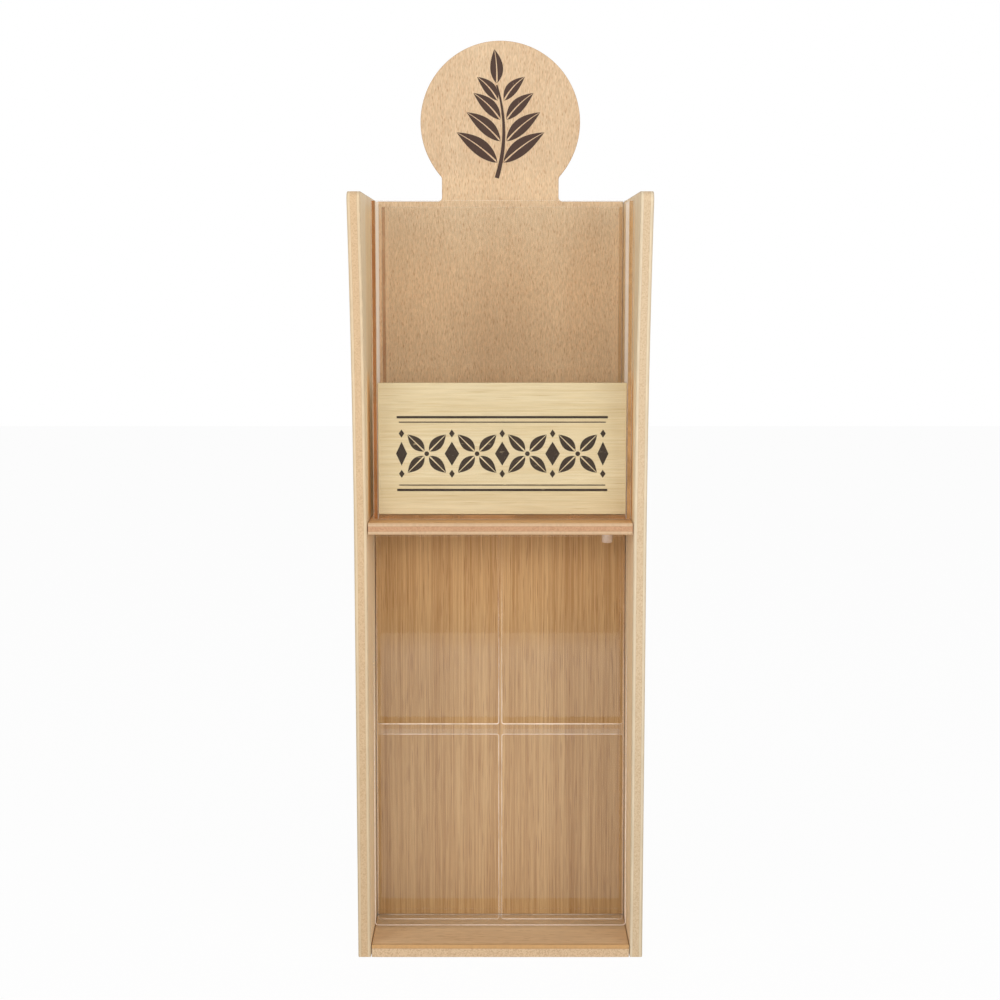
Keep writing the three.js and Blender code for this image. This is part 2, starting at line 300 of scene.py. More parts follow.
def shade(mesh, sharp_angle, lean=0.0):
    """Smooth over the rounds alone.

    Edges sharper than the angle in degrees stay sharp, and faces square to the piece's own three directions,
    which are the display's turned back by the lean, stay flat. Smoothed with the rounds beside them, they
    would take the light as if they were bent."""
    mesh.set_sharp_from_angle(angle=math.radians(sharp_angle))
    mesh.update()
    normals = np.empty(len(mesh.polygons) * 3, np.float32)
    mesh.polygons.foreach_get("normal", normals)
    x, y, z = normals.reshape(-1, 3).T
    c, s = math.cos(lean), math.sin(lean)
    own = np.stack([x, c * y - s * z, s * y + c * z], 1)
    mesh.polygons.foreach_set("use_smooth", np.abs(own).max(1) < 0.9999)
    mesh.update()


def signed_volume(mesh):
    """The volume inside a closed mesh: the sum of what its triangles span with the origin.

    It is below nought where the faces point inwards."""
    mesh.calc_loop_triangles()
    corners = np.empty(len(mesh.loop_triangles) * 3, np.int32)
    mesh.loop_triangles.foreach_get("vertices", corners)
    places = np.empty(len(mesh.vertices) * 3, np.float32)
    mesh.vertices.foreach_get("co", places)
    a, b, c = places.reshape(-1, 3)[corners.reshape(-1, 3)].astype(float).transpose(1, 0, 2)
    return float((a * np.cross(b, c)).sum() / 6.0)


def add_piece(mesh, body):
    """A closed mesh as a piece of the display, its faces outwards, that moves with a body."""
    if signed_volume(mesh) < 0.0:
        mesh.flip_normals()
    made = bpy.data.objects.new(mesh.name, mesh)
    scene.collection.objects.link(made)
    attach(made, body)
    return made


def board(name, outline, near, thickness, arris, place, looks, body):
    """A flat board: its outline is carried through its thickness along the arris profile.

    place turns rows of (across, up, deep) into the display's millimetres. The first look goes on both faces,
    each one polygon, the second on the edge and, if there is a third, that one on the rounded arrises."""
    outline = without_doubles(outline)
    inside, depth = arris_profile(thickness, arris)
    count, rings = len(outline), len(inside)
    flat = outline[None] - inside[:, None, None] * mitres(outline)[None]
    deep = np.broadcast_to((near + depth)[:, None, None], (rings, count, 1))
    points = place(np.concatenate([flat, deep], 2).reshape(-1, 3))
    ring = np.repeat(np.arange(rings - 1), count)
    on_edge = (ring == rings // 2 - 1) | (len(looks) < 3)
    slots = np.concatenate([np.where(on_edge, 1, 2), [0, 0]])
    mesh = new_mesh(name, points, lofted(rings, count), looks, slots)
    shade(mesh, BOARD_SHARP)
    return add_piece(mesh, body)


def group(name, takes, gives):
    """A new shader group with named inputs and outputs. takes gives start values, or None for a vector."""
    made = bpy.data.node_groups.new(name, "ShaderNodeTree")
    for key, value in takes.items():
        kind = "NodeSocketVector" if value is None else "NodeSocketFloat"
        socket = made.interface.new_socket(key, in_out="INPUT", socket_type=kind)
        if value is not None:
            socket.default_value = value
    for key in gives:
        made.interface.new_socket(key, in_out="OUTPUT", socket_type="NodeSocketFloat")
    return made, made.nodes.new("NodeGroupInput").outputs, made.nodes.new("NodeGroupOutput").inputs


def use(tree, made, **inputs):
    """A shader group placed in a material, with its own values."""
    return put(tree, "Group", inputs, node_tree=made).outputs


def stretched(tree, vector, across, along):
    """The vector, its first two parts divided by one length and its third, along the grain, by another."""
    wide = maths(tree, "DIVIDE", 1.0, across)
    long = maths(tree, "DIVIDE", 1.0, along)
    scale = put(tree, "CombineXYZ", [wide, wide, long]).outputs[0]
    return put(tree, "VectorMath", [vector, scale], operation="MULTIPLY").outputs[0]


def noise(tree, vector, scale, detail, roughness=0.5):
    """Soft noise between 0 and 1."""
    inputs = {"Vector": vector, "Scale": scale, "Detail": detail, "Roughness": roughness}
    return put(tree, "TexNoise", inputs).outputs[0]


def ramp(tree, value, low, high, to_low=0.0, to_high=1.0):
    """The value carried smoothly from the range low to high into the range to_low to to_high."""
    made = put(tree, "MapRange", [value, low, high, to_low, to_high], interpolation_type="SMOOTHSTEP")
    return made.outputs[0]


# Pores: short dark dashes along the grain. Space is cut in cells, drawn out along the
# grain, and each cell under the wanted share has a dash round its middle.
takes = {"Vector": None, "Width": 0.5, "Length": 3.0, "Share": 0.5, "Seed": 0.0}
pores, taken, given = group("wood_pores", takes, ["Mask"])
drift = noise(pores, taken["Vector"], 0.02, 1.0)
bent = maths(pores, "MULTIPLY_ADD", drift, 0.8, taken["Seed"])
offset = put(pores, "CombineXYZ", [bent, bent, taken["Seed"]]).outputs[0]
moved = put(pores, "VectorMath", [taken["Vector"], offset], operation="ADD").outputs[0]
drawn_out = stretched(pores, moved, taken["Width"], taken["Length"])
cells = put(pores, "TexVoronoi", {"Vector": drawn_out, "Scale": 0.55}, feature="F1")
dash = ramp(pores, cells.outputs["Distance"], 0.34, 0.14)
drawn = put(pores, "SeparateColor", [cells.outputs["Color"]])
chosen = maths(pores, "LESS_THAN", drawn.outputs[0], taken["Share"])
depth = maths(pores, "MULTIPLY_ADD", drawn.outputs[1], 0.6, 0.4)
pores.links.new(times(pores, dash, chosen, depth), given["Mask"])

# Figure: soft bands along the grain, where early and late wood of a year lie side by
# side. It is noise drawn out along the grain.
takes = {"Vector": None, "Pitch": 8.0, "Run": 160.0, "Seed": 0.0}
figure, taken, given = group("wood_figure", takes, ["Band"])
offset = put(figure, "CombineXYZ", [taken["Seed"], taken["Seed"], taken["Seed"]]).outputs[0]
moved = put(figure, "VectorMath", [taken["Vector"], offset], operation="ADD").outputs[0]
band = noise(figure, stretched(figure, moved, taken["Pitch"], taken["Run"]), 1.0, 3.0, 0.55)
figure.links.new(ramp(figure, band, 0.3, 0.7), given["Band"])

# Cut ends: where a saw has crossed the fibres, the wood is peppered with fine open ends.
ends, taken, given = group("cut_ends", {"Vector": None, "Size": 0.6}, ["Mask"])
fine = maths(ends, "DIVIDE", 1.0, taken["Size"])
scaled = put(ends, "VectorMath", {0: taken["Vector"], 3: fine}, operation="SCALE").outputs[0]
ends.links.new(ramp(ends, noise(ends, scaled, 1.0, 2.0, 0.7), 0.42, 0.66), given["Mask"])

# Plies: a sheet's middle ply lies crosswise and shows its cut ends, between two face
# plies that run lengthwise, with a thin brown line of glue at each meeting.
plies, taken, given = group("plies", {"Across": 0.0, "Core": 1.6, "Glue": 0.12}, ["Core", "Glue", "Skin"])
past = maths(plies, "SUBTRACT", maths(plies, "ABSOLUTE", taken["Across"]), taken["Core"])
plies.links.new(ramp(plies, past, 0.06, -0.06), given["Core"])
plies.links.new(ramp(plies, maths(plies, "ABSOLUTE", past), taken["Glue"], 0.0), given["Glue"])
plies.links.new(ramp(plies, past, 0.6, 1.2), given["Skin"])


def mixed_colour(tree, share, first, second, kind="MIX"):
    """Two colours mixed by a share, or the first one darkened or tinted by the second."""
    first, second = ((*value, 1.0) if isinstance(value, tuple) else value for value in (first, second))
    return put(tree, "Mix", {0: share, 6: first, 7: second}, data_type="RGBA", blend_type=kind).outputs[2]


def rgb(red, green, blue):
    """A colour as a screen gives it, 0 to 255 each, as the light that it stands for."""
    values = np.array([red, green, blue]) / 255.0
    light = np.where(values <= 0.04045, values / 12.92, ((values + 0.055) / 1.055) ** 2.4)
    return tuple(float(v) for v in light)


def grain_vector(tree, grain="Z", lean=0.0):
    """Object coordinates in millimetres, whose third part runs along the grain: X, or Z leant back."""
    place = put(tree, "TexCoord").outputs["Object"]
    turn = (lean, 0.0, 0.0) if grain == "Z" else (0.0, -QUARTER, 0.0)
    inputs = {"Vector": place, "Rotation": turn, "Scale": (1.0 / MM, 1.0 / MM, 1.0 / MM)}
    return put(tree, "Mapping", inputs).outputs[0]


def dry_surface(tree, colour, roughness, height, relief, raised=False, specular=0.3):
    """The shader of wood, ink or filler. The height dents it or, if raised, builds it up, by 0.1 mm."""
    bump = put(tree, "Bump", {"Height": height, "Strength": relief, "Distance": 0.1 * MM}, invert=not raised)
    shader = put(tree, "BsdfPrincipled", {"Base Color": colour, "Roughness": roughness,
                                          "Normal": bump.outputs[0], "Specular IOR Level": specular})
    put(tree, "OutputMaterial", [shader.outputs[0]])
    return shader


def wood_face(name, grain, seed, tones, pore, bands, streaks, flecks, dashes, relief=0.2, roughness=0.5,
              deep=(), glow=None, lean=0.0):
    """A veneered and lacquered face.

    Broad bands and finer streaks, each as (width, length, share), mix its two tones. Flecks of the same form
    lighten and darken it, and dashes, as (width, length, how many, how dark), are the open pores, which also
    dent it. lean turns the grain back with a board that leans. Each entry in deep tints a part: a colour, the
    range of |across| over which it comes in, and others as (axis, from, to). Most entries are painted light
    and
    shade: they darken, brighten or warm parts that are set in, for light that goes from wood to wood there
    and takes on the wood's colour more than its first bounces show. glow is painted light: the face gives off
    a faint light of its own in the last of these parts, for the light that it gets from the ends of the clear
    sheets beside it."""
    made, tree = new_look(name)
    vector = grain_vector(tree, grain, lean)
    band, streak, fleck = (
        use(tree, figure, Vector=vector, Pitch=form[0], Run=form[1], Seed=seed + further)["Band"]
        for form, further in ((bands, 0.0), (streaks, 40.0), (flecks, 90.0)))
    dash = use(tree, pores, Vector=vector, Width=dashes[0], Length=dashes[1], Share=dashes[2],
               Seed=seed)["Mask"]
    tone = maths(tree, "ADD", times(tree, band, bands[2]), times(tree, streak, streaks[2]))
    colour = mixed_colour(tree, tone, tones[0], tones[1])
    light = maths(tree, "MULTIPLY_ADD", fleck, flecks[2], 1.0 - flecks[2] / 2)
    colour = put(tree, "VectorMath", {0: colour, 3: light}, operation="SCALE").outputs[0]
    colour = mixed_colour(tree, times(tree, dash, dashes[3]), colour, pore)
    for tint, across, *ranges in deep:
        display = grain_vector(tree)
        inside = ramp(tree, maths(tree, "ABSOLUTE", part_of(tree, display, 0)), *across)
        for axis, start, end in ranges:
            inside = times(tree, inside, ramp(tree, part_of(tree, display, axis), start, end))
        colour = mixed_colour(tree, inside, colour, tint, "MULTIPLY")
    height = maths(tree, "MULTIPLY_ADD", fleck, -0.3, dash)
    rough = maths(tree, "MULTIPLY_ADD", dash, 0.12, roughness)
    shader = dry_surface(tree, colour, rough, height, relief, specular=0.35)
    if glow:
        tree.links.new(mixed_colour(tree, inside, (0.0, 0.0, 0.0), glow), shader.inputs["Emission Color"])
        shader.inputs["Emission Strength"].default_value = 1.0
    return made


def wood_edge(name, axis, middle, core_half, face_ply, core_ply, glue, skin, foot=None):
    """A sawn and sanded ply edge: the layers are told apart by how far a point lies from the board's middle.

    foot is painted shade that darkens a long upright edge towards its foot, where less light falls: a tint,
    and the heights over which it comes in."""
    made, tree = new_look(name)
    vector = grain_vector(tree)
    part = part_of(tree, vector, axis)
    across = maths(tree, "ABSOLUTE", part) if axis == 0 else part
    waver = maths(tree, "MULTIPLY_ADD", noise(tree, vector, 0.02, 1.0), 0.5, -0.25)
    across = maths(tree, "ADD", maths(tree, "SUBTRACT", across, middle), waver)
    layers = use(tree, plies, Across=across, Core=core_half)
    pepper = use(tree, ends, Vector=vector, Size=0.55)["Mask"]
    streak = use(tree, figure, Vector=vector, Pitch=1.2, Run=14.0, Seed=7.0)["Band"]
    sides = mixed_colour(tree, times(tree, streak, 0.5), face_ply, tuple(0.80 * v for v in face_ply))
    rough_core = mixed_colour(tree, times(tree, pepper, 0.42), core_ply, glue)
    colour = mixed_colour(tree, layers["Core"], sides, rough_core)
    colour = mixed_colour(tree, times(tree, layers["Glue"], 0.45), colour, glue)
    colour = mixed_colour(tree, times(tree, layers["Skin"], 0.5), colour, skin)
    if foot:
        tint, high, low = foot
        colour = mixed_colour(tree, ramp(tree, part_of(tree, vector, 2), high, low), colour, tint, "MULTIPLY")
    dry_surface(tree, colour, 0.6, times(tree, pepper, layers["Core"]), 0.35)
    return made


def left_side(rows):
    """(back, up, in from the outer face) as the display's millimetres, on the left."""
    return np.stack([rows[:, 2] - OUTER_HALF, rows[:, 0], rows[:, 1]], 1)


def right_side(rows):
    """The same on the right, which mirrors it."""
    return np.stack([OUTER_HALF - rows[:, 2], rows[:, 0], rows[:, 1]], 1)


# Painted shade and light on the inner faces beside the bin: deeper orange behind its front sheet and above
# the loose board, deepest in the slot beside the board, where glow also paints on a faint light of their own.
side_face = wood_face(
    "pale_veneer_upright", "Z", 11.0, (rgb(252, 234, 202), rgb(243, 218, 180)), rgb(196, 158, 114),
    (9.0, 240.0, 0.5), (1.0, 40.0, 0.5), (0.7, 6.0, 0.10), (0.5, 5.0, 0.4, 0.4), roughness=0.52,
    deep=(((0.99, 0.88, 0.71), (64.0, 63.0), (1, 0.0, 16.0), (2, 205.0, 212.0), (2, 357.0, 350.0)),
          ((0.99, 0.91, 0.80), (64.0, 63.0), (1, -29.0, -25.0), (2, 272.0, 280.0), (2, 357.0, 350.0)),
          ((1.0, 0.78, 0.50), (64.0, 63.0), (1, -27.0, -23.0), (1, -4.0, -14.0), (2, 205.0, 212.0),
           (2, 280.0, 272.0))),
    glow=(0.07, 0.02, 0.003))
SIDE_MIDDLE = OUTER_HALF - SIDE_THICKNESS / 2
# Both side edges are painted darker towards the foot, as shade.
left_edge = wood_edge("side_ply_edge", 0, SIDE_MIDDLE, 1.5, rgb(230, 206, 171), rgb(221, 190, 151),
                      rgb(176, 136, 96), rgb(190, 166, 132), ((0.87, 0.88, 0.88), 300.0, 0.0))
# The right edge is a paler copy of the left one, painted so for the stronger light on the right, and its foot
# is painted less dark.
right_edge = wood_edge("right_side_ply_edge", 0, SIDE_MIDDLE, 1.5, rgb(231, 212, 182), rgb(222, 197, 162),
                       rgb(176, 138, 98), rgb(190, 168, 136), ((0.90, 0.91, 0.91), 300.0, 0.0))
side_line = side_outline()
left_panel = board("left_side_panel", side_line, 0.0, SIDE_THICKNESS, SIDE_ARRIS, left_side,
                   (side_face, left_edge), "stand")
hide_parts("side_panel_left")
right_panel = board("right_side_panel", side_line, 0.0, SIDE_THICKNESS, SIDE_ARRIS, right_side,
                    (side_face, right_edge), "stand")
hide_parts("side_panel_right")


# The back board is 6 mm beech ply between the sides. It runs from the counter up to
# square shoulders, and above them a short neck carries a round head.
BACK_FACE = 49.67
BACK_THICKNESS = 6.0
BACK_MIDDLE = BACK_FACE + BACK_THICKNESS / 2
BACK_ARRIS = 0.3
BOARD_HALF = 61.2
BOARD_CORNER = 0.32
HEAD_RADIUS = 39.5
HEAD_UP = CASE_TOP + 38.6
HEAD_STEPS = 96
NECK_HALF = 29.0
SHOULDER_ROUND = 2.0
THROAT_ROUND = 3.0


def back_outline():
    """The back board seen from the front, as (across, up): foot, right shoulder, throat, head and back."""
    throat = NECK_HALF + THROAT_ROUND
    drop = math.sqrt((HEAD_RADIUS + THROAT_ROUND) ** 2 - throat ** 2)
    turn = math.atan2(drop, throat)
    shoulder = NECK_HALF + SHOULDER_ROUND
    right = np.concatenate([
        arc(BOARD_HALF - BOARD_CORNER, BOARD_CORNER, BOARD_CORNER, -QUARTER, 0.0, 3),
        arc(BOARD_HALF - BOARD_CORNER, CASE_TOP - BOARD_CORNER, BOARD_CORNER, 0.0, QUARTER, 3),
        arc(shoulder, CASE_TOP + SHOULDER_ROUND, SHOULDER_ROUND, -QUARTER, -math.pi, ARC_STEPS),
        arc(throat, HEAD_UP - drop, THROAT_ROUND, math.pi, math.pi - turn, ARC_STEPS),
        arc(0.0, HEAD_UP, HEAD_RADIUS, -turn, QUARTER, HEAD_STEPS // 2),
    ])
    return np.concatenate([right, right[::-1] * (-1.0, 1.0)])


def seen_from_front(rows):
    """(across, up, deep) as the display's millimetres, for a board that faces the front."""
    return np.stack([rows[:, 0], rows[:, 2], rows[:, 1]], 1)


# Painted light and shade on the back board's front face: the first tint brightens and warms it in the upper
# bay, for light that goes from wood to wood there; the second darkens the neck and head above the case a
# little.
beech_face = wood_face(
    "beech_upright", "Z", 3.0, (rgb(234, 206, 169), rgb(219, 185, 146)), rgb(176, 112, 68),
    (22.0, 180.0, 0.4), (0.5, 3.6, 0.6), (0.4, 2.0, 0.2), (0.34, 2.0, 0.8, 0.62),
    deep=(((1.19, 1.12, 1.05), (62.0, 61.0), (1, 52.0, 51.0), (2, 205.0, 212.0), (2, 366.0, 310.0)),
          ((0.93, 0.93, 0.94), (62.0, 61.0), (1, 52.0, 51.0), (2, 366.0, 380.0))))
back_edge = wood_edge("back_ply_edge", 1, BACK_MIDDLE, 1.4, rgb(224, 193, 156), rgb(208, 168, 128),
                      rgb(160, 118, 82), rgb(196, 160, 124))
back_board = board("beech_back_board", back_outline(), BACK_FACE, BACK_THICKNESS, BACK_ARRIS, seen_from_front,
                   (beech_face, back_edge), "stand")
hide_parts("back_board")


# The head carries a print in dark brown ink: a sprig with paired leaves, each with a
# light midrib. The ink stands a few hundredths of a millimetre proud of the wood.
INK_NEAR = 0.045
INK_THICK = 0.04
INK_BROWN = rgb(72, 55, 48)
SPRIG_HALF = 29.0
SPRIG_BOW = 3.5
SPRIG_PAIRS = 4
SPRIG_LEAF = 25.0
SPRIG_LEAF_WIDTH = 7.9
STEM_STEPS = 40
LEAF_STEPS = 18


def ink_look(name, ink, wood, grain, worn, seed):
    """Ink on wood. Where the noise is high the ink has missed or rubbed off, and the wood shows."""
    made, tree = new_look(name)
    vector = grain_vector(tree, grain)
    fibre = noise(tree, stretched(tree, vector, 0.35, 3.0), 1.0, 3.0)
    patch = noise(tree, vector, 0.22, 4.0, 0.7)
    dash = use(tree, pores, Vector=vector, Width=0.7, Length=4.0, Share=0.4, Seed=seed)["Mask"]
    missed = maths(tree, "MULTIPLY_ADD", fibre, 0.5, times(tree, patch, 0.5))
    missed = maths(tree, "MULTIPLY_ADD", dash, 0.12, missed)
    bare = ramp(tree, missed, 0.66 - worn, 0.80 - worn)
    tone = mixed_colour(tree, fibre, ink, tuple(1.5 * v for v in ink))
    colour = mixed_colour(tree, times(tree, bare, 0.85), tone, wood)
    dry_surface(tree, colour, maths(tree, "MULTIPLY_ADD", bare, -0.1, 0.62), missed, 0.15, raised=True)
    return made


def printed(name, outlines, near, place, look, body):
    """One mesh of flat ink slabs: each outline, anticlockwise as (across, up), is carried back by the ink."""
    points, faces = [], []
    for outline in outlines:
        start, count = len(points), len(outline)
        for deep in (near - INK_NEAR, near - INK_NEAR + INK_THICK):
            points.extend(np.concatenate([outline, np.full((count, 1), deep)], 1).tolist())
        faces.extend([start + corner for corner in face] for face in lofted(2, count))
    return add_piece(new_mesh(name, place(np.array(points)), faces, [look]), body)


def leaf_halves(base, angle, length, width, bend, rib):
    """The two halves of a leaf either side of its midrib.

    Along the leaf its half-width is a sine that is fullest before the middle, and its midrib bows sideways
    as a parabola. Each half runs from the midrib's edge out to the leaf's edge."""
    along = np.linspace(0.0, 1.0, LEAF_STEPS)
    half = width / 2 * np.sin(math.pi * along ** 0.85) ** 0.9
    inner = np.minimum(rib / 2 * (1.0 - 0.7 * along), half * 0.5)
    axis = np.stack([along * length, bend * 4.0 * along * (1.0 - along)], 1)
    c, s = math.cos(angle), math.sin(angle)
    turn = np.array([[c, s], [-s, c]])
    halves = []
    for side in (1.0, -1.0):
        near_rib = axis + np.stack([np.zeros(LEAF_STEPS), side * inner], 1)
        far_edge = axis + np.stack([np.zeros(LEAF_STEPS), side * half], 1)
        line = np.concatenate([near_rib, far_edge[-2:0:-1]])
        halves.append((line if side > 0 else line[::-1]) @ turn + base)
    return halves


def stroke(points, widths):
    """A line of ink with its own width at each point, as one outline."""
    run = np.gradient(points, axis=0)
    run /= np.linalg.norm(run, axis=1)[:, None]
    out = np.stack([run[:, 1], -run[:, 0]], 1) * (widths / 2)[:, None]
    return np.concatenate([points + out, (points - out)[::-1]])


def sprig():
    """A bowed stem that tapers upwards, leaf pairs that shrink towards the top, and one leaf at its tip."""
    along = np.linspace(-1.0, 1.0, STEM_STEPS)
    stem = np.stack([SPRIG_BOW * (1.0 - along ** 2) - SPRIG_BOW / 2, along * SPRIG_HALF * 0.78 - 4.5], 1)
    outlines = [stroke(stem, np.linspace(2.2, 0.8, STEM_STEPS))]
    for pair in range(SPRIG_PAIRS):
        share = (pair + 0.75) / (SPRIG_PAIRS + 0.45)
        place = stem[int(share * (STEM_STEPS - 1))]
        length = SPRIG_LEAF - 3.2 * pair
        width = SPRIG_LEAF_WIDTH - 0.7 * pair
        rise = math.radians(36.0 + 4.0 * pair)
        for side in (1.0, -1.0):
            angle = rise if side > 0 else math.pi - rise
            outlines.extend(leaf_halves(place + (side * 1.5, 0.6), angle, length, width, side, 0.8))
    outlines.extend(leaf_halves(stem[-1] + (0.0, 0.8), math.radians(94.0), 16.5, 6.4, -0.5, 0.8))
    return [outline + (0.0, HEAD_UP) for outline in outlines]


head_ink = ink_look("ink_on_beech", INK_BROWN, rgb(214, 180, 142), "Z", 0.0, 5.0)
printed("head_print", sprig(), BACK_FACE, seen_from_front, head_ink, "stand")


# The base is 6 mm ply, flush with the sides in front, and the shelf over the lower bay
# is 5.5 mm ply that stands half a millimetre behind them. Their sawn edges show plies.
BASE_THICKNESS = 6.0
BOARD_REAR = 49.37
SHELF_FRONT = FRONT_Y + 0.5
SHELF_UNDERSIDE = 203.026
SHELF_THICKNESS = 5.5
SHELF_MIDDLE = SHELF_UNDERSIDE + SHELF_THICKNESS / 2
FLAT_ARRIS = 0.3
FLAT_FIGURE = ((12.0, 200.0, 0.5), (1.0, 30.0, 0.5), (0.6, 6.0, 0.12), (0.5, 4.0, 0.4, 0.5))


def seen_from_above(rows):
    """(across, back, up) as the display's millimetres, for a board that lies flat."""
    return rows


def rectangle(x0, x1, y0, y1, corner, steps=3):
    """A rectangle's outline, anticlockwise from its lower right, with its corners rounded."""
    left, right, low, high = x0 + corner, x1 - corner, y0 + corner, y1 - corner
    centres = ((right, low), (right, high), (left, high), (left, low))
    return np.concatenate([arc(*centre, corner, (number - 1) * QUARTER, number * QUARTER, steps)
                           for number, centre in enumerate(centres)])


# The base top is tinted darker and warmer along its front 3 mm. Behind the tray's front it is painted darker,
# as shade under the tray.
base_face = wood_face(
    "beech_lengthwise", "X", 23.0, (rgb(228, 199, 161), rgb(208, 176, 138)), rgb(160, 120, 82), *FLAT_FIGURE,
    deep=(((0.90, 0.82, 0.70), (-2.0, -1.0), (1, -31.0, -33.0), (2, 4.0, 5.0)),
          ((0.84, 0.83, 0.84), (-2.0, -1.0), (1, -15.0, -9.0), (2, 4.0, 5.0))))
base_edge = wood_edge("base_ply_edge", 2, 2.0, 2.3, rgb(202, 158, 106), rgb(216, 189, 154),
                      rgb(140, 96, 56), rgb(206, 164, 112))
# The shelf's beech is painted darker and more orange than the base's, as shade on its top, which lies under
# the bin.
shelf_face = wood_face(
    "beech_shelf", "X", 27.0, (rgb(224, 180, 128), rgb(204, 158, 108)), rgb(160, 112, 68), *FLAT_FIGURE)
shelf_edge = wood_edge("shelf_ply_edge", 2, SHELF_MIDDLE, 1.2, rgb(213, 181, 145), rgb(202, 158, 122),
                       rgb(158, 108, 72), rgb(190, 152, 114))
base_line = rectangle(-BOARD_HALF, BOARD_HALF, FRONT_Y, BOARD_REAR, BOARD_CORNER)
base = board("ply_base", base_line, 0.0, BASE_THICKNESS, FLAT_ARRIS, seen_from_above,
             (base_face, base_edge), "stand")
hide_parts("base_board")
shelf_line = rectangle(-BOARD_HALF, BOARD_HALF, SHELF_FRONT, BOARD_REAR, BOARD_CORNER)
shelf = board("ply_shelf", shelf_line, SHELF_UNDERSIDE, SHELF_THICKNESS, FLAT_ARRIS, seen_from_above,
              (shelf_face, shelf_edge), "stand")
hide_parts("mid_shelf")


# The board behind the tray is 6 mm ply faced with oak, and leans back by 3 degrees
# from the base up to the shelf. Its grain runs up along it.
LEAN = math.radians(3.0)
TRAY_REAR_FOOT = (4.947, 6.3)
OAK_FRONT = 0.3
OAK_THICKNESS = 6.0
OAK_BOTTOM = 0.35
OAK_TOP = 196.45


def leaning(rows):
    """(across, up along the tray, deep square to it) as the display's millimetres, leant back."""
    back = TRAY_REAR_FOOT[0] + rows[:, 2] * math.cos(LEAN) + rows[:, 1] * math.sin(LEAN)
    up = TRAY_REAR_FOOT[1] - rows[:, 2] * math.sin(LEAN) + rows[:, 1] * math.cos(LEAN)
    return np.stack([rows[:, 0], back, up], 1)


# The oak's deep tint is painted shade: it grows darker towards the bottom of the board.
oak_face = wood_face(
    "oak_upright", "Z", 31.0, (rgb(220, 178, 126), rgb(178, 130, 78)), rgb(134, 78, 34),
    (7.0, 400.0, 0.35), (0.6, 50.0, 0.6), (0.4, 8.0, 0.08), (0.3, 11.0, 0.65, 0.72), relief=0.15,
    deep=(((0.86, 0.88, 0.90), (70.0, 69.0), (2, 180.0, 130.0)),), lean=LEAN)
oak_edge = wood_edge("oak_ply_edge", 1, 13.0, 1.4, rgb(206, 166, 120), rgb(196, 152, 108),
                     rgb(140, 98, 62), rgb(180, 140, 98))
oak_line = rectangle(-BOARD_HALF, BOARD_HALF, OAK_BOTTOM, OAK_TOP, BOARD_CORNER)
oak_board = board("oak_back_board", oak_line, OAK_FRONT, OAK_THICKNESS, FLAT_ARRIS, leaning,
                  (oak_face, oak_edge), "stand")
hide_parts("lower_back_board")


# The clear bin is five sheets of 2 mm acrylic, glued edge to edge with polished
# arrises. It stands loose on the shelf, a little to the right of the middle. The cut
# ends are painted in the brown of the shaded wood that they show, deeper and darker
# on the left than on the right.
BIN_SHIFT = 0.9
BIN_HALF = 60.0
BIN_FRONT = -25.33
BIN_REAR = 49.07
BIN_FOOT = 208.826
BIN_TOP = 355.826
SHEET = 2.0
GLUE_LINE = 0.3
SHEET_ARRIS = 0.25
SHEET_CORNER = 0.25
PLASTIC_BEND = 1.49
PLASTIC_TINT = (0.996, 0.998, 0.997, 1.0)
GLOW_BOUNCE = 0.07


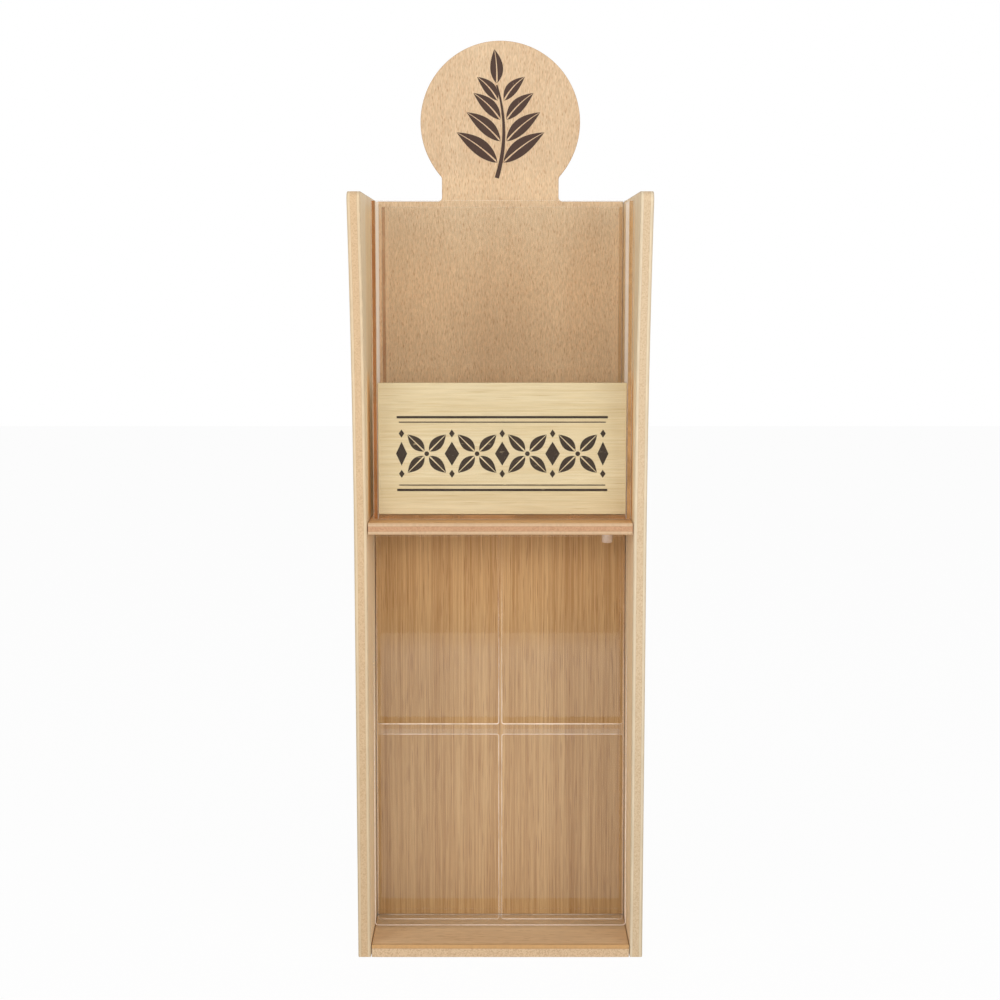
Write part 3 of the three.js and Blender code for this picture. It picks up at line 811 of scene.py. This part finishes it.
def clear_plastic(name, dust_and_painted_light, dust_and_painted_light_colour, mirror, roughness, level_less=0.0, fades=(), glow=None, gleam=0.0):
    """Clear acrylic, thin enough to be seen through unbent.

    A share of what is behind it is hidden by a pale layer, thicker in some places than in others: real dust,
    scuffs and polish where it is thin, and where it is thick, on cut ends, seams and arrises, a painted
    highlight or the painted colour of the shaded wood seen there. On a level part it is thinner by the share
    level_less, or thicker if that is below nought. Each of fades, as (axis, from, to, share left), thins it
    along across (0, either way) or up (2). With glow, as (how strong, from, to), a sheet is painted pale near
    its front end, for light that runs inside it and comes out there, if it is seen so flatly that it mirrors
    more than GLOW_BOUNCE.
    gleam is painted light: how much light the layer gives off. On its outer face the sheet mirrors what is
    before it by Fresnel's law, times the mirror value, which stands for both of its faces. Light on its way
    to and from other surfaces goes straight through."""
    made, tree = new_look(name)
    vector = grain_vector(tree)
    smear = noise(tree, vector, 0.05, 5.0, 0.65)
    level = maths(tree, "ABSOLUTE", part_of(tree, put(tree, "TexCoord").outputs["Normal"], 2))
    cover = maths(tree, "MULTIPLY", ramp(tree, smear, 0.3, 0.7, 0.6, 1.4), dust_and_painted_light, clamp=True)
    cover = times(tree, cover, maths(tree, "MULTIPLY_ADD", level, -level_less, 1.0))
    for axis, start, end, left in fades:
        part = part_of(tree, vector, axis)
        part = maths(tree, "ABSOLUTE", part) if axis == 0 else part
        cover = times(tree, cover, ramp(tree, part, start, end, 1.0, left))
    clear = put(tree, "BsdfPrincipled", {"Base Color": PLASTIC_TINT, "Roughness": 0.0, "IOR": 1.0,
                                         "Transmission Weight": 1.0})
    dull = put(tree, "BsdfPrincipled", {"Base Color": (*dust_and_painted_light_colour, 1.0), "Roughness": 0.4,
                                        "Emission Color": (*dust_and_painted_light_colour, 1.0), "Emission Strength": gleam})
    facing = maths(tree, "SUBTRACT", 1.0, put(tree, "NewGeometry").outputs["Backfacing"])
    bounce = put(tree, "Fresnel", {"IOR": PLASTIC_BEND}).outputs[0]
    if glow:
        near_front = ramp(tree, part_of(tree, vector, 1), glow[1], glow[2], 1.0, 0.0)
        grazed = times(tree, maths(tree, "SUBTRACT", bounce, GLOW_BOUNCE), facing, glow[0])
        cover = maths(tree, "MAXIMUM", cover, maths(tree, "MULTIPLY", grazed, near_front, clamp=True))
    body = put(tree, "MixShader", [cover, clear.outputs[0], dull.outputs[0]])
    share = maths(tree, "MULTIPLY", times(tree, bounce, mirror), facing, clamp=True)
    gloss = put(tree, "BsdfGlossy", {"Color": (1.0, 1.0, 1.0, 1.0), "Roughness": roughness})
    whole = put(tree, "MixShader", [share, body.outputs[0], gloss.outputs[0]])
    path = put(tree, "LightPath")
    straight = maths(tree, "MAXIMUM", path.outputs["Is Shadow Ray"], path.outputs["Is Diffuse Ray"])
    straight = maths(tree, "MAXIMUM", straight, path.outputs["Is Reflection Ray"])
    open_way = put(tree, "BsdfTransparent", {"Color": PLASTIC_TINT})
    lets_light = put(tree, "MixShader", [straight, whole.outputs[0], open_way.outputs[0]])
    put(tree, "OutputMaterial", [lets_light.outputs[0]])
    return made


clear_sheet = clear_plastic("clear_sheet", 0.001, (0.9, 0.86, 0.82), 1.3, 0.02)
# The side sheets are painted pale near their front ends and give off a little light there: painted light, for
# light that runs inside them.
clear_side = clear_plastic("clear_side_sheet", 0.001, rgb(255, 244, 234), 0.4, 0.02, glow=(5.6, -15.0, 2.0),
                           gleam=0.17)
# Painted shade: the sheets' cut ends take the brown of the shaded wood seen through them, darker on the left.
left_end = clear_plastic("clear_sheet_end", 0.88, rgb(170, 106, 50), 0.4, 0.1, level_less=0.96)
right_end = clear_plastic("clear_sheet_end_right", 0.88, rgb(204, 156, 100), 0.4, 0.1, level_less=0.96)
# Painted shade: the floor sheet's edges take the warm brown of the shelf in shade under the bin.
floor_seam_shade = clear_plastic("clear_floor_seam_shade", 0.5, rgb(200, 148, 98), 0.4, 0.1)
# The arrises' pale layer is a painted highlight, fainter on level arrises.
clear_arris = clear_plastic("clear_arris", 0.3, rgb(246, 222, 198), 0.6, 0.15, level_less=0.8)


def bin_sheet(name, outline, near, place, node, looks=(clear_sheet, left_end, clear_arris)):
    """One sheet of the bin, which stands for its node."""
    made = board(name, outline, near, SHEET, SHEET_ARRIS, place, looks, "clear_bin")
    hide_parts(node)


def bin_from_front(rows):
    """A sheet that faces the front: (across, up, back), shifted with the bin."""
    return seen_from_front(rows) + (BIN_SHIFT, 0.0, 0.0)


def bin_from_side(rows):
    """A sheet that faces sideways: (back, up, across), shifted with the bin."""
    return np.stack([rows[:, 2] + BIN_SHIFT, rows[:, 0], rows[:, 1]], 1)


def bin_from_above(rows):
    """A sheet that lies flat: (across, back, up), shifted with the bin."""
    return rows + (BIN_SHIFT, 0.0, 0.0)


side_front = BIN_FRONT + SHEET + GLUE_LINE
side_rear = BIN_REAR - SHEET - GLUE_LINE
floor_half = BIN_HALF - SHEET - GLUE_LINE
bin_face_line = rectangle(-BIN_HALF, BIN_HALF, BIN_FOOT, BIN_TOP, SHEET_CORNER, 2)
bin_side_line = rectangle(side_front, side_rear, BIN_FOOT, BIN_TOP, SHEET_CORNER, 2)
bin_floor_line = rectangle(-floor_half, floor_half, side_front, side_rear, SHEET_CORNER, 2)
bin_sheet("clear_bin_front", bin_face_line, BIN_FRONT, bin_from_front, "bin_front_sheet")
bin_sheet("clear_bin_back", bin_face_line, BIN_REAR - SHEET, bin_from_front, "bin_back_sheet")
bin_sheet("clear_bin_left", bin_side_line, -BIN_HALF, bin_from_side, "bin_left_sheet",
          (clear_side, left_end, clear_arris))
bin_sheet("clear_bin_right", bin_side_line, BIN_HALF - SHEET, bin_from_side, "bin_right_sheet",
          (clear_side, right_end, clear_arris))
bin_sheet("clear_bin_floor", bin_floor_line, BIN_FOOT, bin_from_above, "bin_floor_sheet",
          (clear_sheet, floor_seam_shade, floor_seam_shade))


# A loose 3 mm board, veneered in pale ash with its grain lying across, stands upright
# in the bin behind its front sheet.
INSERT_HALF = 57.7
INSERT_FOOT = 211.126
INSERT_HEIGHT = 61.4
INSERT_FRONT = -23.03
INSERT_THICKNESS = 3.0
INSERT_CORNER = 0.5
INSERT_ARRIS = 0.35

ash_face = wood_face(
    "ash_crosswise", "X", 51.0, (rgb(228, 209, 170), rgb(212, 188, 143)), rgb(190, 158, 108),
    (5.0, 190.0, 0.4), (0.8, 46.0, 0.6), (0.6, 8.0, 0.06), (0.5, 12.0, 0.6, 0.55), relief=0.25)
ash_edge = wood_edge("ash_board_edge", 1, INSERT_FRONT + INSERT_THICKNESS / 2, 0.8, rgb(230, 210, 168),
                     rgb(216, 188, 146), rgb(168, 132, 92), rgb(216, 192, 150))
insert_line = rectangle(-INSERT_HALF, INSERT_HALF, INSERT_FOOT, INSERT_FOOT + INSERT_HEIGHT, INSERT_CORNER,
                        ARC_STEPS // 2)
insert = board("ash_insert_board", insert_line, INSERT_FRONT, INSERT_THICKNESS, INSERT_ARRIS, bin_from_front,
               (ash_face, ash_edge), "insert")
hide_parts("insert_board")


# The loose board carries a worn stamp in a like ink: level double rules with a row of
# lozenges and leafed crosses between them.
STAMP_HALF = 49.0
STAMP_UP = 239.6
STAMP_RISE = 17.0
STAMP_PITCH = 23.4
STAMP_CROSSES = 4
DIAMOND_UP = 9.4


def lozenge(across, up, half_width, half_height):
    """A rhombus that stands on its point, anticlockwise."""
    corners = [(half_width, 0.0), (0.0, half_height), (-half_width, 0.0), (0.0, -half_height)]
    return np.array(corners) + (across, up)


def stamp():
    """Rules above and below, and between them four leafed crosses with a column of lozenges at each side."""
    outlines = []
    for side in (1.0, -1.0):
        for rise, width, reach in ((STAMP_RISE, 1.1, STAMP_HALF), (STAMP_RISE - 2.3, 0.5, STAMP_HALF - 1.0)):
            line = np.stack([np.linspace(-reach, reach, 3), np.full(3, side * rise)], 1)
            outlines.append(stroke(line, np.full(3, width)))
    for number in range(STAMP_CROSSES):
        centre = np.array([(number - (STAMP_CROSSES - 1) / 2) * STAMP_PITCH, 0.0])
        for index in range(4):
            angle = math.radians(45.0 + 90.0 * index)
            base = centre + 1.6 * np.array([math.cos(angle), math.sin(angle)])
            outlines.extend(leaf_halves(base, angle, 11.0, 5.4, 0.0, 0.7))
        outlines.append(centre + arc(0.0, 0.0, 1.1, 0.0, 1.9 * math.pi, 18))
    for number in range(STAMP_CROSSES + 1):
        across = (number - STAMP_CROSSES / 2) * STAMP_PITCH
        at_end = number in (0, STAMP_CROSSES)
        outlines.append(lozenge(across, 0.0, 2.6 if at_end else 3.4, 5.6))
        outlines.append(lozenge(across, DIAMOND_UP, 1.3, 1.9))
        outlines.append(lozenge(across, -DIAMOND_UP, 1.3, 1.9))
    return [outline + (0.0, STAMP_UP) for outline in outlines]


stamp_ink = ink_look("ink_on_ash", rgb(58, 47, 38), rgb(212, 188, 146), "X", 0.05, 15.0)
printed("insert_print", stamp(), INSERT_FRONT, bin_from_front, stamp_ink, "insert")


# The tray in the lower bay is one clear moulding: a sheet with four deep pockets that
# open to the front, with rounded mouths and a small round where walls meet the back.
TRAY_HALF = 61.2
TRAY_DEPTH = 17.0
TRAY_SHEET = 2.0
SIDE_LAND = 2.1
CENTRE_LAND = 2.0
FOOT_LAND = 3.5
MIDDLE_LAND = 5.5
TOP_LAND = 2.0
POCKET_HEIGHT = 90.8
POCKET_ROUND = 0.7
POCKET_FILLET = 0.5
TRAY_CORNER = 1.5
TRAY_ARRIS = 0.45
PLASTIC_SHARP = 35.0
TRAY_HEIGHT = FOOT_LAND + 2 * POCKET_HEIGHT + MIDDLE_LAND + TOP_LAND
TRAY_MIDDLE = FOOT_LAND + POCKET_HEIGHT + MIDDLE_LAND / 2


class Rings:
    """Rings of points in the leaning frame, and the faces that join them, each with its look's number."""

    def __init__(self):
        self.points, self.faces, self.slots = [], [], []

    def add(self, flat, deep):
        """A ring at one depth. Gives its first point's number."""
        start = sum(len(p) for p in self.points)
        self.points.append(np.concatenate([flat, np.full((len(flat), 1), deep)], 1))
        return start

    def join(self, a, b, count, slot):
        """One face from each side of ring a to the same side of ring b."""
        step = np.arange(count)
        ahead = (step + 1) % count
        self.faces.extend(np.stack([a + step, a + ahead, b + ahead, b + step], 1).tolist())
        self.slots.extend([slot] * count)

    def close(self, start, count, forwards):
        """One face over a whole ring."""
        face = list(range(start, start + count))
        self.faces.append(face if forwards else face[::-1])
        self.slots.append(0)


def cell_border(x0, upper, steps):
    """The border of one pocket's quarter of the tray's front, round at the tray's own corner."""
    left = -TRAY_HALF + TRAY_ARRIS if x0 < 0 else 0.0
    right = 0.0 if x0 < 0 else TRAY_HALF - TRAY_ARRIS
    low = TRAY_MIDDLE if upper else TRAY_ARRIS
    high = TRAY_HEIGHT - TRAY_ARRIS if upper else TRAY_MIDDLE
    border = []
    for number, (across, up) in enumerate(((right, low), (right, high), (left, high), (left, low))):
        on_rim = across != 0.0 and up != TRAY_MIDDLE
        radius = TRAY_CORNER - TRAY_ARRIS if on_rim else 0.0
        centre_across = across - radius * (1.0 if number in (0, 1) else -1.0)
        centre_up = up - radius * (1.0 if number in (1, 2) else -1.0)
        start = (number - 1) * QUARTER
        border.append(arc(centre_across, centre_up, radius, start, start + QUARTER, steps))
    return np.concatenate(border)


def tray_rings():
    """The tray as rings that are joined in order, from the middle of each pocket's floor out over its mouth.

    A pocket's rings are its rounded outline moved outwards or inwards, each at its own depth: floor, fillet,
    wall and mouth. The land round a mouth runs to a cell's border, and the four cells together fill the
    tray's front. The outer rings carry the tray's own outline over its arris, down its wall and round to the
    back."""
    made = Rings()
    steps = ARC_STEPS // 2
    turns = [(1.0 - math.sin(t), 1.0 - math.cos(t)) for t in np.linspace(0.0, QUARTER, ARRIS_STEPS + 1)]
    front, floor = -TRAY_DEPTH, -TRAY_SHEET
    wall = ARRIS_STEPS + 1
    inner, outer = CENTRE_LAND / 2, TRAY_HALF - SIDE_LAND
    for foot, upper in ((FOOT_LAND, False), (FOOT_LAND + POCKET_HEIGHT + MIDDLE_LAND, True)):
        for x0, x1 in ((-outer, -inner), (inner, outer)):
            mouth = rectangle(x0, x1, foot, foot + POCKET_HEIGHT, POCKET_ROUND, steps)
            out = mitres(mouth)
            count = len(mouth)
            rings = [made.add(mouth - out * POCKET_FILLET * sine, floor - POCKET_FILLET * cosine)
                     for sine, cosine in turns]
            rings += [made.add(mouth + out * TRAY_ARRIS * cosine, front + TRAY_ARRIS * sine)
                      for sine, cosine in turns]
            for index in range(1, len(rings)):
                made.join(rings[index - 1], rings[index], count, 1 if index > wall else 0)
            made.close(rings[0], count, True)
            made.join(rings[-1], made.add(cell_border(x0, upper, steps), front), count, 0)

    rim = rectangle(-TRAY_HALF, TRAY_HALF, 0.0, TRAY_HEIGHT, TRAY_CORNER, steps)
    crossings = ((TRAY_HALF, TRAY_MIDDLE), (0.0, TRAY_HEIGHT), (-TRAY_HALF, TRAY_MIDDLE), (0.0, 0.0))
    pieces = []
    for number, crossing in enumerate(crossings):
        pieces.append(rim[number * (steps + 1):(number + 1) * (steps + 1)])
        pieces.append(np.array([crossing]))
    rim = np.concatenate(pieces)
    out = mitres(rim)
    rings = [made.add(rim - out * TRAY_ARRIS * sine, front + TRAY_ARRIS * cosine) for sine, cosine in turns]
    rings += [made.add(rim - out * TRAY_ARRIS * cosine, -TRAY_ARRIS * sine) for sine, cosine in turns]
    for index in range(1, len(rings)):
        look = 2 if index < wall else 0 if index == wall else 1
        made.join(rings[index - 1], rings[index], len(rim), look)
    made.close(rings[-1], len(rim), False)
    return made


# Painted highlights on the tray's arrises: a pale layer that gives off a little light, stronger on the level
# mouth arrises. It is faded higher up, where the shelf shades the tray, and on the mouths also low down and
# at the sides.
mouth_arris = clear_plastic(
    "tray_mouth_arris", 0.48, rgb(255, 238, 222), 0.6, 0.15, level_less=-1.0,
    fades=((2, 115.0, 190.0, 0.12), (2, 30.0, 6.0, 0.4), (0, 55.0, 58.5, 0.4)), gleam=0.05)
rim_arris = clear_plastic(
    "tray_rim_arris", 0.95, rgb(255, 244, 238), 0.6, 0.15, fades=((2, 60.0, 170.0, 0.1),), gleam=0.14)
made = tray_rings()
mesh = new_mesh("clear_tray", leaning(np.concatenate(made.points)), made.faces,
                (clear_sheet, mouth_arris, rim_arris), made.slots)
welded = bmesh.new()
welded.from_mesh(mesh)
bmesh.ops.remove_doubles(welded, verts=welded.verts, dist=1e-6)
bmesh.ops.dissolve_degenerate(welded, edges=welded.edges, dist=1e-7)
bmesh.ops.recalc_face_normals(welded, faces=welded.faces)
welded.to_mesh(mesh)
welded.free()
shade(mesh, PLASTIC_SHARP, LEAN)
tray = add_piece(mesh, "tray")
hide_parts("pack_tray")


# The stop peg is turned from clear rod: a thin shank glued in the shelf and a wider
# body that hangs just ahead of the tray's top.
PEG_PLACE = (51.0, -5.9, SHELF_UNDERSIDE)
PEG_RADIUS = 2.6
PEG_DROP = 7.8
PEG_CHAMFER = 0.6
PEG_SHANK = 1.5
PEG_SHANK_UP = 4.0
PEG_GAP = 0.3
PEG_EASE = 0.2
PEG_AXIS = 0.001
PEG_STEPS = 48
profile = np.array([
    (PEG_AXIS, -PEG_DROP),
    (PEG_RADIUS - PEG_CHAMFER, -PEG_DROP),
    (PEG_RADIUS - 0.3 * PEG_CHAMFER, -PEG_DROP + 0.3 * PEG_CHAMFER),
    (PEG_RADIUS, -PEG_DROP + PEG_CHAMFER),
    (PEG_RADIUS, -PEG_GAP - PEG_EASE),
    (PEG_RADIUS - PEG_EASE, -PEG_GAP),
    (PEG_SHANK, -PEG_GAP),
    (PEG_SHANK, PEG_SHANK_UP),
    (PEG_AXIS, PEG_SHANK_UP),
])
turn = np.linspace(0.0, 2.0 * math.pi, PEG_STEPS, endpoint=False)
x = profile[:, :1] * np.cos(turn)
y = profile[:, :1] * np.sin(turn)
z = np.broadcast_to(profile[:, 1:], x.shape)
turned = (np.stack([x, y, z], 2) + PEG_PLACE).reshape(-1, 3)
peg_look = clear_plastic("clear_peg", 0.5, rgb(240, 222, 206), 0.8, 0.08)
mesh = new_mesh("clear_peg", turned, lofted(len(profile), PEG_STEPS), [peg_look])
shade(mesh, PLASTIC_SHARP)
peg = add_piece(mesh, "stand")
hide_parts("stop_peg")


# Plain wire brads hold the boards between the sides, driven from outside and sunk just
# under the outer faces.
brad_look, tree = new_look("brad_wire")
drawn = noise(tree, grain_vector(tree), 1.2, 3.0)
metal = mixed_colour(tree, drawn, (0.45, 0.45, 0.44), (0.6, 0.6, 0.58))
rough = maths(tree, "MULTIPLY_ADD", drawn, 0.2, 0.3)
wire = put(tree, "BsdfPrincipled", {"Base Color": metal, "Metallic": 1.0, "Roughness": rough})
put(tree, "OutputMaterial", [wire.outputs[0]])
for name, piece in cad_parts.items():
    if "brad" in name:
        piece.data.materials.clear()
        piece.data.materials.append(brad_look)


# Over each brad's head the hole is stopped with pale wood filler, sanded nearly flush
# with the side's outer face.
DOT_RADIUS = 1.1
DOT_PROUD = 0.04
DOT_STEPS = 20
BRAD_INSET = 15.0
OAK_BRAD_INSET = 45.0
BACK_BRAD_INSET = 35.0
BACK_BRADS = 4


def brad_places():
    """Where brads run in, as (back, up): two for each flat board, four for the back and two for the oak."""
    rows = []
    for up in (BASE_THICKNESS / 2, SHELF_MIDDLE):
        rows += [(SHELF_FRONT + BRAD_INSET, up), (BOARD_REAR - BRAD_INSET, up)]
    for up in np.linspace(BACK_BRAD_INSET, CASE_TOP - BACK_BRAD_INSET, BACK_BRADS):
        rows.append((BACK_MIDDLE, up))
    for up in (OAK_BOTTOM + OAK_BRAD_INSET, OAK_TOP - OAK_BRAD_INSET):
        rows.append(tuple(leaning(np.array([(0.0, up, OAK_FRONT + OAK_THICKNESS / 2)]))[0, 1:]))
    return rows


def filler_dots(name, place, look):
    """Flat domes, one for each brad: a middle point, two rings down to the face and a point under it."""
    points, faces = [], []
    for back, up in brad_places():
        start = len(points)
        points.append((back, up, -DOT_PROUD))
        for share, deep in ((0.75, -0.7 * DOT_PROUD), (1.0, 0.01)):
            ring = arc(back, up, share * DOT_RADIUS, 0.0, 2.0 * math.pi, DOT_STEPS)[:-1]
            points.extend((*point, deep) for point in ring)
        points.append((back, up, 0.1))
        first, second, last = start + 1, start + 1 + DOT_STEPS, start + 1 + 2 * DOT_STEPS
        for step in range(DOT_STEPS):
            ahead = (step + 1) % DOT_STEPS
            faces.append((start, first + step, first + ahead))
            faces.append((first + step, second + step, second + ahead, first + ahead))
            faces.append((last, second + ahead, second + step))
    mesh = new_mesh(name, place(np.array(points, float)), faces, [look])
    mesh.polygons.foreach_set("use_smooth", np.ones(len(faces), bool))
    add_piece(mesh, "stand")


filler_look, tree = new_look("wood_filler")
grit = noise(tree, grain_vector(tree), 3.0, 3.0, 0.7)
filler_colour = mixed_colour(tree, grit, rgb(206, 168, 122), rgb(228, 196, 152))
dry_surface(tree, filler_colour, maths(tree, "MULTIPLY_ADD", grit, 0.15, 0.6), grit, 0.3, raised=True)
filler_dots("left_filler_dots", left_side, filler_look)
filler_dots("right_filler_dots", right_side, filler_look)
